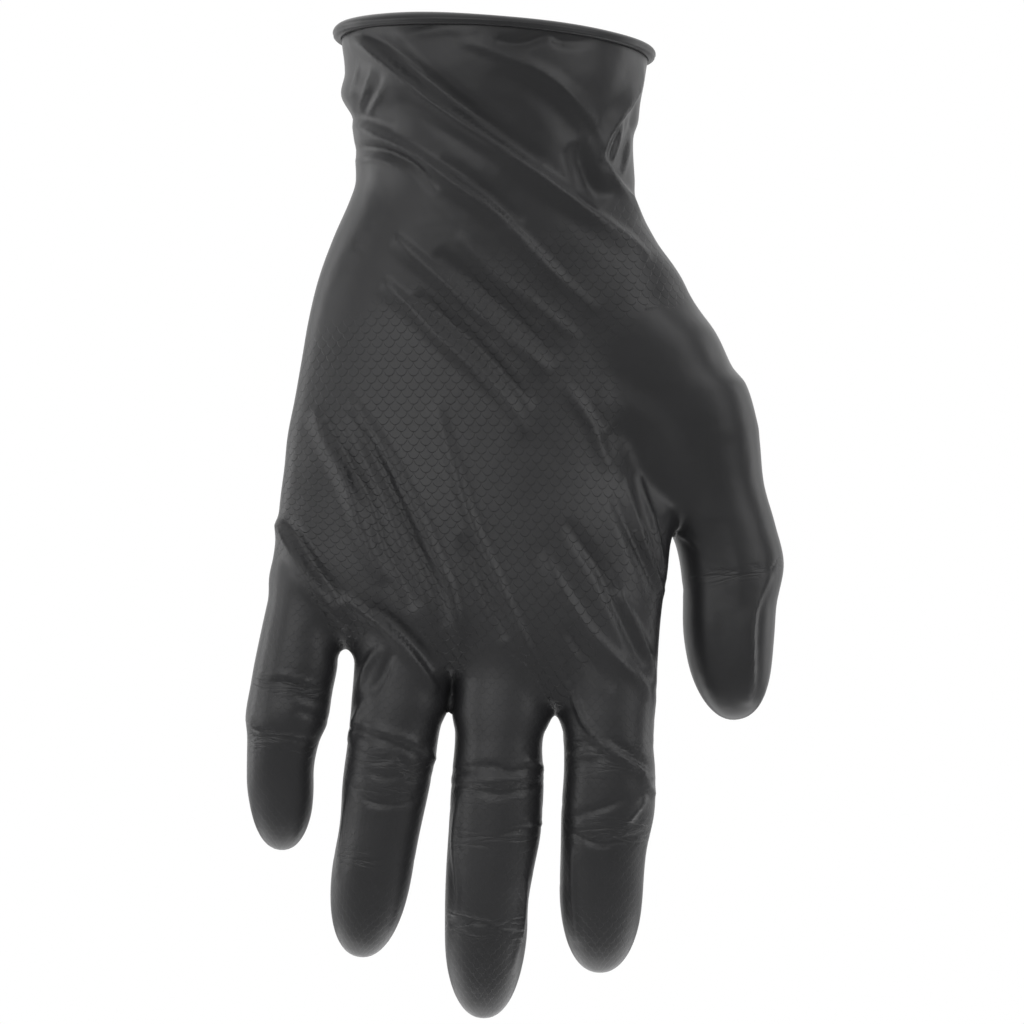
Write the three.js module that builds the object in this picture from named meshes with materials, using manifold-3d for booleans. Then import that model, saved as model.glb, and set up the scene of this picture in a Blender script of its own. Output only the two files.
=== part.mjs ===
// A nitrile exam glove for the right hand, filled out as it is when worn, with its fingers hanging down.
// It is one dipped film: an open cuff with a rolled bead, the hand, four finger stalls and a thumb stall.
// Millimetres. +Z runs up the forearm, -Y is the back of the hand, and +X is the thumb side.
// The origin is the centre of the wrist opening.
import * as THREE from "three";
import { LoftGeometry } from "three/addons/geometries/LoftGeometry.js";
import { mergeVertices } from "three/addons/utils/BufferGeometryUtils.js";
import Module from "manifold-3d";

// Driving dimensions of the cuff and hand.
const cuffLength = 40; // wrist opening to the heel of the hand
const handLength = 112; // heel of the hand to the web beside the middle finger
const cuffWidth = 71; // across the wrist opening
const cuffDepth = 54; // wrist opening, back of the hand to palm
const palmWidth = 90; // across the hand, without the thumb
const palmDepth = 32; // back of the hand to palm
const filmThickness = 1; // the wall
const beadDiameter = 2.8; // the rolled edge of the cuff
const rimRise = 2.5; // how far the rim's back-of-hand side stands above its centre
const rimLean = 2.5; // how far the rim's little-finger side stands above its centre
const foldHeight = 2.4; // the tallest drag fold in the film
const foldWidth = 9; // the usual width of a drag fold at its foot

// Driving dimensions of the stalls: from the web to the tip, and across.
const littleLength = 45;
const littleWidth = 19;
const ringLength = 60;
const ringWidth = 21;
const middleLength = 71;
const middleWidth = 21.5;
const indexLength = 61.8;
const indexWidth = 21;
const thumbLength = 82;
const thumbWidth = 22.5;

// How finely the surfaces are divided.
const bodySides = 40;
const bodyRings = 35;
const stallSides = 14;
const tipRings = 4;
const beadSides = 8;

// Small constants of the build.
const openingOverrun = 6; // how far the hollow's cutter runs out past the rim
const beadTrim = 0.35; // how much of the bead the hollow trims flush with the film's inner face
const rimBlend = 0.5; // the share of the cuff over which the rim's slope dies out
const stallRoundness = 2.2; // superellipse exponent of a stall's section
const tipRoundness = 2.2; // superellipse exponent of a stall's end, seen from the front
const foldSideShare = 0.35; // how far a fold wraps round the edge of the hand
const rimHold = 0.2; // the share of the cuff over which the bead smooths the folds out

// Sections of the cuff: down is a share of cuffLength, left and right of cuffWidth, back and palm of cuffDepth.
const cuffRows = [
  { down: 0, left: 0.496, right: 0.501, back: 0.5, palm: 0.5, square: 2 },
  { down: 0.2, left: 0.483, right: 0.483, back: 0.476, palm: 0.485, square: 2.1 },
  { down: 0.316, left: 0.495, right: 0.474, back: 0.456, palm: 0.466, square: 2.1 },
  { down: 0.431, left: 0.457, right: 0.467, back: 0.433, palm: 0.447, square: 2.1 },
  { down: 0.546, left: 0.451, right: 0.451, back: 0.415, palm: 0.431, square: 2.1 },
  { down: 0.776, left: 0.447, right: 0.456, back: 0.388, palm: 0.403, square: 2.1 },
  { down: 0.891, left: 0.466, right: 0.46, back: 0.372, palm: 0.387, square: 2.1 },
];

// Sections of the hand: down is a share of handLength, left and right of palmWidth, back and palm of
// palmDepth. slant drops the thumb side of a section below its little-finger side, along the webs, and
// swing bends it towards the palm. The cuff's rows have neither.
const handRows = [
  { down: 0.041, left: 0.411, right: 0.411, back: 0.58, palm: 0.61, square: 2.2, slant: 0, swing: 0 },
  { down: 0.123, left: 0.448, right: 0.48, back: 0.53, palm: 0.59, square: 2.3, slant: 0, swing: 0.03 },
  { down: 0.205, left: 0.473, right: 0.53, back: 0.5, palm: 0.58, square: 2.3, slant: 0, swing: 0.08 },
  { down: 0.288, left: 0.491, right: 0.577, back: 0.485, palm: 0.565, square: 2.3, slant: 0, swing: 0.12 },
  { down: 0.37, left: 0.509, right: 0.61, back: 0.47, palm: 0.55, square: 2.3, slant: 0, swing: 0.15 },
  { down: 0.452, left: 0.527, right: 0.603, back: 0.458, palm: 0.525, square: 2.3, slant: 0.02, swing: 0.17 },
  { down: 0.534, left: 0.536, right: 0.535, back: 0.45, palm: 0.5, square: 2.3, slant: 0.05, swing: 0.15 },
  { down: 0.606, left: 0.545, right: 0.462, back: 0.442, palm: 0.475, square: 2.4, slant: 0.09, swing: 0.06 },
  { down: 0.678, left: 0.551, right: 0.443, back: 0.43, palm: 0.455, square: 2.4, slant: 0.14, swing: 0.02 },
  { down: 0.78, left: 0.557, right: 0.417, back: 0.405, palm: 0.44, square: 2.4, slant: 0.2, swing: 0 },
  { down: 0.862, left: 0.565, right: 0.4, back: 0.35, palm: 0.41, square: 2.4, slant: 0.26, swing: 0 },
  { down: 0.945, left: 0.53, right: 0.385, back: 0.22, palm: 0.35, square: 2.4, slant: 0.31, swing: 0 },
  { down: 0.972, left: 0.5, right: 0.38, back: 0.12, palm: 0.29, square: 2.4, slant: 0.3, swing: 0 },
];

// Sections of the stalls. along is a share of the stall's length from its web, and rows below 0 lie in the
// hand. side and sink move the section towards the thumb and the palm, and wide and thick size it, all as
// shares of the stall's width.
const littleRows = [
  { along: -0.6, side: 0.05, sink: 0, wide: 0.7, thick: 0.8 },
  { along: -0.3, side: 0.02, sink: 0, wide: 0.85, thick: 0.9 },
  { along: 0.03, side: 0, sink: 0, wide: 0.995, thick: 0.93 },
  { along: 0.18, side: -0.03, sink: 0.01, wide: 0.995, thick: 0.9 },
  { along: 0.34, side: -0.056, sink: 0.03, wide: 0.995, thick: 0.9 },
  { along: 0.44, side: -0.074, sink: 0.06, wide: 0.88, thick: 0.84 },
  { along: 0.57, side: -0.084, sink: 0.12, wide: 0.81, thick: 0.78 },
  { along: 0.7, side: -0.058, sink: 0.2, wide: 0.83, thick: 0.74 },
  { along: 0.78, side: -0.037, sink: 0.25, wide: 0.78, thick: 0.7 },
];
const ringRows = [
  { along: -0.6, side: 0, sink: 0, wide: 0.8, thick: 0.86 },
  { along: -0.3, side: -0.09, sink: 0, wide: 1.04, thick: 1 },
  { along: 0, side: -0.03, sink: 0, wide: 1.07, thick: 0.97 },
  { along: 0.08, side: -0.045, sink: 0, wide: 1, thick: 0.94 },
  { along: 0.195, side: -0.036, sink: 0.01, wide: 0.976, thick: 0.93 },
  { along: 0.35, side: -0.035, sink: 0.045, wide: 0.948, thick: 0.88 },
  { along: 0.51, side: -0.025, sink: 0.1, wide: 0.881, thick: 0.82 },
  { along: 0.66, side: -0.035, sink: 0.17, wide: 0.89, thick: 0.8 },
  { along: 0.78, side: -0.035, sink: 0.24, wide: 0.86, thick: 0.76 },
  { along: 0.84, side: -0.045, sink: 0.27, wide: 0.79, thick: 0.72 },
];
const middleRows = [
  { along: -0.55, side: 0, sink: 0, wide: 0.8, thick: 0.86 },
  { along: -0.28, side: 0, sink: 0, wide: 0.95, thick: 0.94 },
  { along: 0, side: 0, sink: 0, wide: 1.07, thick: 0.96 },
  { along: 0.09, side: -0.014, sink: 0, wide: 0.94, thick: 0.93 },
  { along: 0.22, side: 0, sink: 0.02, wide: 0.986, thick: 0.93 },
  { along: 0.39, side: 0, sink: 0.06, wide: 0.986, thick: 0.88 },
  { along: 0.52, side: -0.028, sink: 0.12, wide: 0.935, thick: 0.84 },
  { along: 0.62, side: -0.045, sink: 0.18, wide: 0.885, thick: 0.8 },
  { along: 0.72, side: -0.018, sink: 0.26, wide: 0.885, thick: 0.78 },
  { along: 0.82, side: -0.03, sink: 0.34, wide: 0.823, thick: 0.74 },
  { along: 0.865, side: -0.028, sink: 0.37, wide: 0.753, thick: 0.69 },
];
const indexRows = [
  { along: -0.6, side: 0, sink: 0, wide: 0.8, thick: 0.88 },
  { along: -0.3, side: 0, sink: 0, wide: 0.98, thick: 0.96 },
  { along: 0, side: -0.01, sink: 0, wide: 1.06, thick: 0.98 },
  { along: 0.13, side: 0.02, sink: 0, wide: 0.985, thick: 0.95 },
  { along: 0.245, side: 0.044, sink: 0.01, wide: 1, thick: 0.94 },
  { along: 0.4, side: 0.037, sink: 0.05, wide: 1.02, thick: 0.9 },
  { along: 0.55, side: 0, sink: 0.12, wide: 0.943, thick: 0.86 },
  { along: 0.7, side: -0.014, sink: 0.22, wide: 0.935, thick: 0.82 },
  { along: 0.81, side: -0.003, sink: 0.3, wide: 0.88, thick: 0.77 },
  { along: 0.867, side: 0, sink: 0.34, wide: 0.752, thick: 0.7 },
];
const thumbRows = [
  { along: -0.2, side: -0.36, sink: -0.35, wide: 0.9, thick: 0.9 },
  { along: -0.09, side: -0.05, sink: -0.25, wide: 1.1, thick: 1.08 },
  { along: 0.026, side: 0.08, sink: -0.14, wide: 1.18, thick: 1.17 },
  { along: 0.083, side: 0.17, sink: -0.09, wide: 1.28, thick: 1.18 },
  { along: 0.2, side: 0.22, sink: -0.02, wide: 1.29, thick: 1.13 },
  { along: 0.256, side: 0.225, sink: 0.01, wide: 1.25, thick: 1.08 },
  { along: 0.372, side: 0.25, sink: 0.05, wide: 1.12, thick: 0.98 },
  { along: 0.488, side: 0.316, sink: 0.08, wide: 1.05, thick: 0.92 },
  { along: 0.604, side: 0.314, sink: 0.1, wide: 1.068, thick: 0.89 },
  { along: 0.718, side: 0.199, sink: 0.12, wide: 0.998, thick: 0.85 },
  { along: 0.8, side: 0.139, sink: 0.14, wide: 0.918, thick: 0.8 },
  { along: 0.86, side: 0.11, sink: 0.16, wide: 0.8, thick: 0.73 },
];

// The stalls' places: the middle of the web end, across as a share of palmWidth, down of handLength and
// sink of palmDepth. lean swings the tip towards the thumb, in degrees.
const stalls = [
  {
    rows: littleRows, length: littleLength, width: littleWidth,
    across: -0.503, down: 0.893, sink: 0.035, lean: -5.6,
  },
  {
    rows: ringRows, length: ringLength, width: ringWidth,
    across: -0.232, down: 0.986, sink: 0.015, lean: -9.4,
  },
  {
    rows: middleRows, length: middleLength, width: middleWidth,
    across: 0.02, down: 1.01, sink: 0, lean: -3.4,
  },
  {
    rows: indexRows, length: indexLength, width: indexWidth,
    across: 0.289, down: 0.996, sink: 0.01, lean: -1.3,
  },
  {
    rows: thumbRows, length: thumbLength, width: thumbWidth,
    across: 0.43, down: 0.31, sink: 0.25, lean: 11.5,
  },
];

// Drag folds of the cuff and hand. face is -1 on the back of the hand and 1 on the palm.
// across is a share of palmWidth from the centre and down a share of the rim-to-web length. bow drops the
// fold's middle, height is a share of foldHeight, below 0 for a valley, and width a share of foldWidth.
const folds = [
  { face: -1, across: [-0.37, 0.35], down: [-0.01, 0.29], bow: 0.02, height: 1, width: 1 },
  { face: -1, across: [-0.3, 0.1], down: [0.0, 0.16], bow: -0.01, height: -0.7, width: 0.9 },
  { face: -1, across: [-0.36, 0.05], down: [0.106, 0.277], bow: 0, height: 0.7, width: 0.9 },
  { face: -1, across: [-0.35, -0.15], down: [0.155, 0.215], bow: 0.01, height: 0.4, width: 0.8 },
  { face: -1, across: [-0.07, 0.29], down: [0.005, 0.165], bow: -0.04, height: 0.6, width: 0.9 },
  { face: -1, across: [0.38, 0.29], down: [0.024, 0.168], bow: 0, height: 0.7, width: 0.8 },
  { face: -1, across: [0.28, 0.38], down: [0.179, 0.251], bow: 0, height: 0.6, width: 0.9 },
  { face: -1, across: [-0.215, 0.1], down: [0.304, 0.469], bow: 0, height: 0.5, width: 1.1 },
  { face: -1, across: [-0.215, 0.03], down: [0.396, 0.552], bow: 0, height: 0.4, width: 1 },
  { face: -1, across: [-0.442, -0.215], down: [0.561, 0.831], bow: 0, height: 0.5, width: 1.1 },
  { face: -1, across: [-0.565, -0.355], down: [0.748, 0.893], bow: 0, height: 0.45, width: 1 },
  { face: -1, across: [-0.286, -0.102], down: [0.593, 0.944], bow: 0, height: 0.5, width: 1 },
  { face: -1, across: [-0.041, 0.118], down: [0.758, 0.923], bow: 0, height: 0.4, width: 1 },
  { face: -1, across: [0.22, 0.411], down: [0.749, 0.97], bow: 0, height: 0.45, width: 1 },
  { face: 1, across: [-0.33, 0.33], down: [0.13, 0.11], bow: 0.03, height: 0.7, width: 0.9 },
  { face: 1, across: [-0.33, 0.25], down: [0.19, 0.22], bow: 0.02, height: 0.5, width: 0.9 },
  { face: 1, across: [0.02, 0.36], down: [0.3, 0.55], bow: 0.05, height: -0.7, width: 1.1 },
  { face: 1, across: [-0.42, 0.3], down: [0.62, 0.6], bow: 0.04, height: -0.6, width: 1 },
  { face: 1, across: [-0.5, 0.2], down: [0.76, 0.79], bow: 0.03, height: -0.6, width: 1 },
];

// Turns the rows of a table from shares into millimetres, with start added to the distance down the glove.
function sized(rows, start, length, width, depth) {
  return rows.map((row) => ({
    down: start + row.down * length,
    left: row.left * width,
    right: row.right * width,
    back: row.back * depth,
    palm: row.palm * depth,
    square: row.square,
    slant: row.slant ?? 0,
    swing: row.swing ?? 0,
  }));
}

// A smooth curve through one column of a table, read at a place along its key column.
function columnAt(rows, key, column, place) {
  const last = rows.length - 2;
  const found = rows.findIndex((row, index) => index > last || place < rows[index + 1][key]);
  const index = Math.min(found, last);
  const slope = (at) => {
    const before = rows[Math.max(at - 1, 0)];
    const after = rows[Math.min(at + 1, rows.length - 1)];
    return (after[column] - before[column]) / (after[key] - before[key]);
  };
  const start = rows[index];
  const end = rows[index + 1];
  const span = end[key] - start[key];
  const t = (place - start[key]) / span;
  const rise = (end[column] - start[column]) / span;
  const curve = slope(index) * (1 - t) ** 2 * t - slope(index + 1) * (1 - t) * t ** 2;
  return start[column] + rise * span * t * t * (3 - 2 * t) + curve * span;
}

function rowAt(rows, key, place) {
  const columns = Object.keys(rows[0]);
  return Object.fromEntries(columns.map((column) => [column, columnAt(rows, key, column, place)]));
}

// One coordinate of a superellipse, which is rounder at 2 and squarer above it.
function bulge(value, exponent) {
  return Math.sign(value) * Math.abs(value) ** (2 / exponent);
}

const rimToWeb = cuffLength + handLength;
const bodyRows = [
  ...sized(cuffRows, 0, cuffLength, cuffWidth, cuffDepth),
  ...sized(handRows, cuffLength, handLength, palmWidth, palmDepth),
];
const bodyEnd = bodyRows[bodyRows.length - 1].down;

// The height of the sloping rim over a point of the opening.
function rimHeight(x, y) {
  return -rimRise * (y / (cuffDepth / 2)) - rimLean * (x / (cuffWidth / 2));
}

// How far the film stands out at a place on the hand, from the table of folds.
function foldRise(x, down, outward) {
  const across = x / palmWidth;
  const along = down / rimToWeb;
  return folds.reduce((rise, fold) => {
    const runX = (fold.across[1] - fold.across[0]) * palmWidth;
    const runZ = (fold.down[1] - fold.down[0]) * rimToWeb;
    const length = Math.hypot(runX, runZ);
    const fromX = (across - fold.across[0]) * palmWidth;
    const fromZ = (along - fold.down[0]) * rimToWeb;
    const t = (fromX * runX + fromZ * runZ) / (length * length);
    const beside = Math.abs(fromX * runZ - fromZ * runX) / length;
    const side = Math.sign(fromX * runZ - fromZ * runX);
    const bowed = Math.abs(beside + side * fold.bow * rimToWeb * 4 * t * (1 - t));
    const halfWidth = (fold.width * foldWidth) / 2;
    const facing = THREE.MathUtils.clamp(outward * fold.face + foldSideShare, 0, 1);
    if (bowed > halfWidth * 2 || t < 0 || t > 1) return rise;
    const ridge = 0.5 + 0.5 * Math.cos((Math.PI * bowed) / (halfWidth * 2));
    const fade = Math.sin(Math.PI * t) ** 0.5;
    return rise + fold.height * foldHeight * ridge * fade * facing;
  }, 0);
}

// The ring of points round the cuff or hand at one place, moved inwards by inset and turned by a share of
// a side.
function bodyRing(down, inset, turn = 0) {
  const row = rowAt(bodyRows, "down", Math.max(down, 0));
  const points = [];
  for (let side = 0; side < bodySides; side += 1) {
    const angle = ((side + turn) / bodySides) * 2 * Math.PI;
    const toThumb = bulge(Math.cos(angle), row.square);
    const toBack = bulge(Math.sin(angle), row.square);
    const halfWidth = (toThumb > 0 ? row.right : row.left) - inset;
    const halfDepth = (toBack > 0 ? row.back : row.palm) - inset;
    const x = toThumb * halfWidth;
    const y = -toBack * halfDepth + (row.swing * Math.max(x, 0) ** 2) / palmDepth;
    const slope = new THREE.Vector2(toThumb / halfWidth, -toBack / Math.max(halfDepth, filmThickness));
    slope.normalize();
    const held = THREE.MathUtils.clamp(down / (rimHold * cuffLength), 0, 1);
    const rise = foldRise(x, down, slope.y) * held;
    const tilt = rimHeight(x, y) * Math.max(0, 1 - Math.max(down, 0) / (rimBlend * cuffLength));
    points.push(new THREE.Vector3(x + slope.x * rise, y + slope.y * rise, tilt - down - row.slant * x));
  }
  return points;
}

// The cuff and hand as one loft, from overrun beyond its rim down to the webs.
function bodyGeometry(inset, overrun) {
  const sections = [bodyRing(-overrun, inset)];
  for (let ring = 1; ring <= bodyRings; ring += 1) {
    sections.push(bodyRing((ring / bodyRings) * (bodyEnd - inset), inset));
  }
  return new LoftGeometry(sections, { capStart: true, capEnd: true });
}

// One stall as a loft from inside the hand to its rounded tip, moved inwards by inset.
function stallGeometry(stall, inset) {
  const lean = THREE.MathUtils.degToRad(stall.lean);
  const toTip = new THREE.Vector3(Math.sin(lean), 0, -Math.cos(lean));
  const toThumb = new THREE.Vector3(Math.cos(lean), 0, Math.sin(lean));
  const toBack = new THREE.Vector3(0, -1, 0);
  const web = new THREE.Vector3(
    stall.across * palmWidth,
    stall.sink * palmDepth,
    -(cuffLength + stall.down * handLength),
  );
  const ringAt = (along, row, share) => {
    const centre = web
      .clone()
      .addScaledVector(toTip, along)
      .addScaledVector(toThumb, row.side * stall.width)
      .addScaledVector(toBack, -row.sink * stall.width);
    const halfWidth = ((row.wide * stall.width) / 2 - inset) * share;
    const halfThick = ((row.thick * stall.width) / 2 - inset) * share;
    const points = [];
    for (let side = 0; side < stallSides; side += 1) {
      const angle = (side / stallSides) * 2 * Math.PI;
      const across = bulge(Math.cos(angle), stallRoundness) * halfWidth;
      const back = bulge(Math.sin(angle), stallRoundness) * halfThick;
      points.push(centre.clone().addScaledVector(toThumb, across).addScaledVector(toBack, back));
    }
    return points;
  };
  const sections = stall.rows.map((row) => ringAt(row.along * stall.length, row, 1));
  const last = stall.rows[stall.rows.length - 1];
  const tipStart = last.along * stall.length;
  const tipReach = stall.length - inset - tipStart;
  for (let ring = 1; ring <= tipRings; ring += 1) {
    const angle = (ring / (tipRings + 0.5)) * (Math.PI / 2);
    const along = tipStart + bulge(Math.sin(angle), tipRoundness) * tipReach;
    sections.push(ringAt(along, last, bulge(Math.cos(angle), tipRoundness)));
  }
  return new LoftGeometry(sections, { capStart: true, capEnd: true });
}

// The rolled bead as a closed loft of small circles round the rim, its inner side level with the film's
// inner face.
function beadGeometry() {
  const radius = beadDiameter / 2;
  const seat = filmThickness + beadTrim - radius;
  const centres = bodyRing(0, seat, 0.5);
  const inner = bodyRing(0, seat + radius, 0.5);
  const upward = new THREE.Vector3(rimLean / (cuffWidth / 2), rimRise / (cuffDepth / 2), 1).normalize();
  const sections = centres.map((centre, index) => {
    const outward = centre.clone().sub(inner[index]).normalize();
    const points = [];
    for (let side = 0; side < beadSides; side += 1) {
      const angle = ((side + 0.5) / beadSides) * 2 * Math.PI;
      const point = centre.clone().addScaledVector(outward, radius * Math.cos(angle));
      points.push(point.addScaledVector(upward, radius * Math.sin(angle)));
    }
    return points;
  });
  return new LoftGeometry([...sections, sections[0]]);
}

const wasm = await Module();
wasm.setup();

// A closed mesh as a solid, and a solid as a mesh's geometry.
function solidOf(geometry) {
  const bare = new THREE.BufferGeometry();
  bare.setAttribute("position", geometry.attributes.position);
  bare.setIndex(geometry.index);
  const merged = mergeVertices(bare);
  return new wasm.Manifold(
    new wasm.Mesh({
      numProp: 3,
      vertProperties: new Float32Array(merged.attributes.position.array),
      triVerts: new Uint32Array(merged.index.array),
    }),
  );
}

function geometryOf(solid) {
  const mesh = solid.getMesh();
  const geometry = new THREE.BufferGeometry();
  geometry.setAttribute("position", new THREE.BufferAttribute(mesh.vertProperties, 3));
  geometry.setIndex(new THREE.BufferAttribute(mesh.triVerts, 1));
  geometry.computeVertexNormals();
  return geometry;
}

// The film is the glove's outer form less the same form moved in by the wall, open at the wrist.
function gloveFilm() {
  let outer = solidOf(bodyGeometry(0, 0)).add(solidOf(beadGeometry()));
  let hollow = solidOf(bodyGeometry(filmThickness, openingOverrun));
  for (const stall of stalls) {
    outer = outer.add(solidOf(stallGeometry(stall, 0)));
    hollow = hollow.add(solidOf(stallGeometry(stall, filmThickness)));
  }
  return outer.subtract(hollow);
}

const nitrile = new THREE.MeshStandardMaterial({
  name: "nitrile",
  color: 0x1c1c1d,
  roughness: 0.5,
  metalness: 0,
});

const glove = new THREE.Group();
const film = new THREE.Mesh(geometryOf(gloveFilm()), nitrile);
film.name = "glove_film";
glove.add(film);

export default glove;
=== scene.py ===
"""A black nitrile exam glove in its worn form, held at the wrist with its fingers hanging down.

Lengths in the tables and functions are millimetres in the glove's own frame: +Z up the forearm,
-Y the back of the hand, +X the thumb side, with the origin at the centre of the wrist opening.
Meshes are turned to metres when they are made.
"""

import math
from functools import partial

import bmesh
import bpy
import numpy as np
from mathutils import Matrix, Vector


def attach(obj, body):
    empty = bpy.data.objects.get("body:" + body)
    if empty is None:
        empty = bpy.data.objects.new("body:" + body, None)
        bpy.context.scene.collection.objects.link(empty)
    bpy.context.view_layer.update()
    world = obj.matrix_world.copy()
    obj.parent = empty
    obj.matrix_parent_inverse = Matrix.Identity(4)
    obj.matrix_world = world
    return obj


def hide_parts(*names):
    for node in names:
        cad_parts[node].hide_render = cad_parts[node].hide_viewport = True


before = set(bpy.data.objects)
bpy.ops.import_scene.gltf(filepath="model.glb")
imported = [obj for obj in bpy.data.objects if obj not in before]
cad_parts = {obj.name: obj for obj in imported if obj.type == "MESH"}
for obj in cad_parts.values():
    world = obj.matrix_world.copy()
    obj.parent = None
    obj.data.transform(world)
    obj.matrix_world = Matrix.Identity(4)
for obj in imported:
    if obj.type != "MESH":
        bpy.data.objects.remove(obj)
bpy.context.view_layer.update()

MM = 0.001

# Driving sizes, as in the CAD part.
CUFF_LENGTH = 40.0
HAND_LENGTH = 112.0
CUFF_WIDTH = 71.0
CUFF_DEPTH = 54.0
PALM_WIDTH = 90.0
PALM_DEPTH = 32.0
BEAD_DIAMETER = 2.8
RIM_RISE = 2.5
RIM_LEAN = 2.5
RIM_BLEND = 0.5
LITTLE_LENGTH, LITTLE_WIDTH = 45.0, 19.0
RING_LENGTH, RING_WIDTH = 60.0, 21.0
MIDDLE_LENGTH, MIDDLE_WIDTH = 71.0, 21.5
INDEX_LENGTH, INDEX_WIDTH = 61.8, 21.0
THUMB_LENGTH, THUMB_WIDTH = 82.0, 22.5

# How the surface is built: the outer skin's squares, the share of its faces that the inner skin keeps,
# and the wall between them.
VOXEL = 0.88
INNER_SHARE = 0.12
WALL = 0.8

# How widely the parts are rounded into each other: stalls into the hand, stalls into each other at
# their webs, the hand's own lower edge, and the thumb into the hand. The thumb's rounding narrows to its
# slit's between the two distances down the glove.
HAND_BLEND = 3.5
WEB_BLEND = 1.0
HAND_END_BLEND = 4.0
THUMB_BLEND = 9.0
THUMB_SLIT_BLEND = 0.6
THUMB_SLIT = (96.0, 113.0)

# The stalls' squareness, how far a dome reaches past its stall, and how far the first tube runs above
# the rim.
STALL_ROUNDNESS = 2.2
TIP_REACH = 1.0
OVERRUN = 14.0

# Least values that keep the distances finite deep inside a section.
LEAST_LEVEL = 0.05
LEAST_SLOPE = 0.02

# The grip pattern: it begins this far down, on a line that slants across the hand, and ends on another
# slanting line and a swaying one at the thumb. Its scales are finer and fainter on the finger stalls.
GRIP_START, GRIP_START_SLANT, GRIP_START_FADE = 47, 0.42, 8
THUMB_LINE, THUMB_LINE_SLANT, THUMB_LINE_X, THUMB_LINE_FADE = 66, 0.65, 34, 3
THUMB_SIDE, THUMB_SIDE_SWAY, THUMB_SIDE_FADE = 26, 6, 4
WEB_OF_THUMB = 112
STALL_GRIP = 0.25
FINER = 1.35
SCALE_WIDTH = 2.8
SCALE_ROW = 1.62

# The film's relief, in metres.
GRIP_HEIGHT = 0.0001
WRINKLE_HEIGHT = -0.00011
SWELL_HEIGHT = 0.00025
GRAIN_HEIGHT = 0.00001

# The photograph's scale at the glove, and the pixel where the glove's origin lies.
PHOTO_MM = 0.23
PHOTO_ORIGIN = (494.0, 45.0)
PHOTO_CENTRE = (512.0, 512.0)
CAMERA_DISTANCE = 1000.0
BACK_DEPTH = 13.0

# Sections of the cuff: down, left, right, back and palm are shares of its length, width and depth. square
# is the superellipse's power, slant how far the section drops for each millimetre towards the thumb, and
# swing how strongly its thumb side bends to the palm.
SECTION = ("down", "left", "right", "back", "palm", "square", "slant", "swing")
CUFF_ROWS = [
    (0.0, 0.496, 0.501, 0.5, 0.5, 2.0, 0.0, 0.0),
    (0.2, 0.483, 0.483, 0.476, 0.485, 2.1, 0.0, 0.0),
    (0.316, 0.495, 0.474, 0.456, 0.466, 2.1, 0.0, 0.0),
    (0.431, 0.457, 0.467, 0.433, 0.447, 2.1, 0.0, 0.0),
    (0.546, 0.451, 0.451, 0.415, 0.431, 2.1, 0.0, 0.0),
    (0.776, 0.447, 0.456, 0.388, 0.403, 2.1, 0.0, 0.0),
    (0.891, 0.466, 0.46, 0.372, 0.387, 2.1, 0.0, 0.0),
]

# Sections of the hand, as shares of its own length, width and depth.
HAND_ROWS = [
    (0.041, 0.411, 0.411, 0.58, 0.61, 2.2, 0.0, 0.0),
    (0.123, 0.448, 0.48, 0.53, 0.59, 2.3, 0.0, 0.03),
    (0.205, 0.473, 0.53, 0.5, 0.58, 2.3, 0.0, 0.08),
    (0.288, 0.491, 0.577, 0.485, 0.565, 2.3, 0.0, 0.12),
    (0.37, 0.509, 0.61, 0.47, 0.55, 2.3, 0.0, 0.15),
    (0.452, 0.527, 0.603, 0.458, 0.525, 2.3, 0.02, 0.17),
    (0.534, 0.536, 0.535, 0.45, 0.5, 2.3, 0.05, 0.15),
    (0.606, 0.545, 0.462, 0.442, 0.475, 2.4, 0.09, 0.06),
    (0.678, 0.551, 0.443, 0.43, 0.455, 2.4, 0.14, 0.02),
    (0.78, 0.557, 0.417, 0.405, 0.44, 2.4, 0.2, 0.0),
    (0.862, 0.565, 0.4, 0.35, 0.41, 2.4, 0.26, 0.0),
    (0.945, 0.53, 0.385, 0.22, 0.35, 2.4, 0.31, 0.0),
    (0.972, 0.5, 0.38, 0.12, 0.29, 2.4, 0.3, 0.0),
]

# Sections of the stalls: along is a share of the stall's length. side and sink are shares of its width,
# and half and thick stand here for the whole width and thickness.
STALL_SECTION = ("along", "side", "sink", "half", "thick")
LITTLE_ROWS = [
    (-0.6, 0.05, 0.0, 0.7, 0.8),
    (-0.3, 0.02, 0.0, 0.85, 0.9),
    (0.03, 0.0, 0.0, 0.995, 0.93),
    (0.18, -0.03, 0.01, 0.995, 0.9),
    (0.34, -0.056, 0.03, 0.995, 0.9),
    (0.44, -0.074, 0.06, 0.88, 0.84),
    (0.57, -0.08, 0.12, 0.82, 0.78),
    (0.7, -0.056, 0.2, 0.82, 0.76),
    (0.82, -0.026, 0.275, 0.82, 0.75),
    (1.0, 0.005, 0.38, 0.82, 0.75),
]
RING_ROWS = [
    (-0.6, 0.0, 0.0, 0.8, 0.86),
    (-0.3, -0.09, 0.0, 1.04, 1.0),
    (0.0, -0.03, 0.0, 1.07, 0.97),
    (0.08, -0.045, 0.0, 1.0, 0.94),
    (0.195, -0.036, 0.01, 0.976, 0.93),
    (0.35, -0.035, 0.045, 0.948, 0.88),
    (0.51, -0.025, 0.1, 0.881, 0.82),
    (0.66, -0.032, 0.17, 0.88, 0.8),
    (0.8, -0.03, 0.25, 0.875, 0.78),
    (1.0, -0.026, 0.35, 0.875, 0.78),
]
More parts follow.
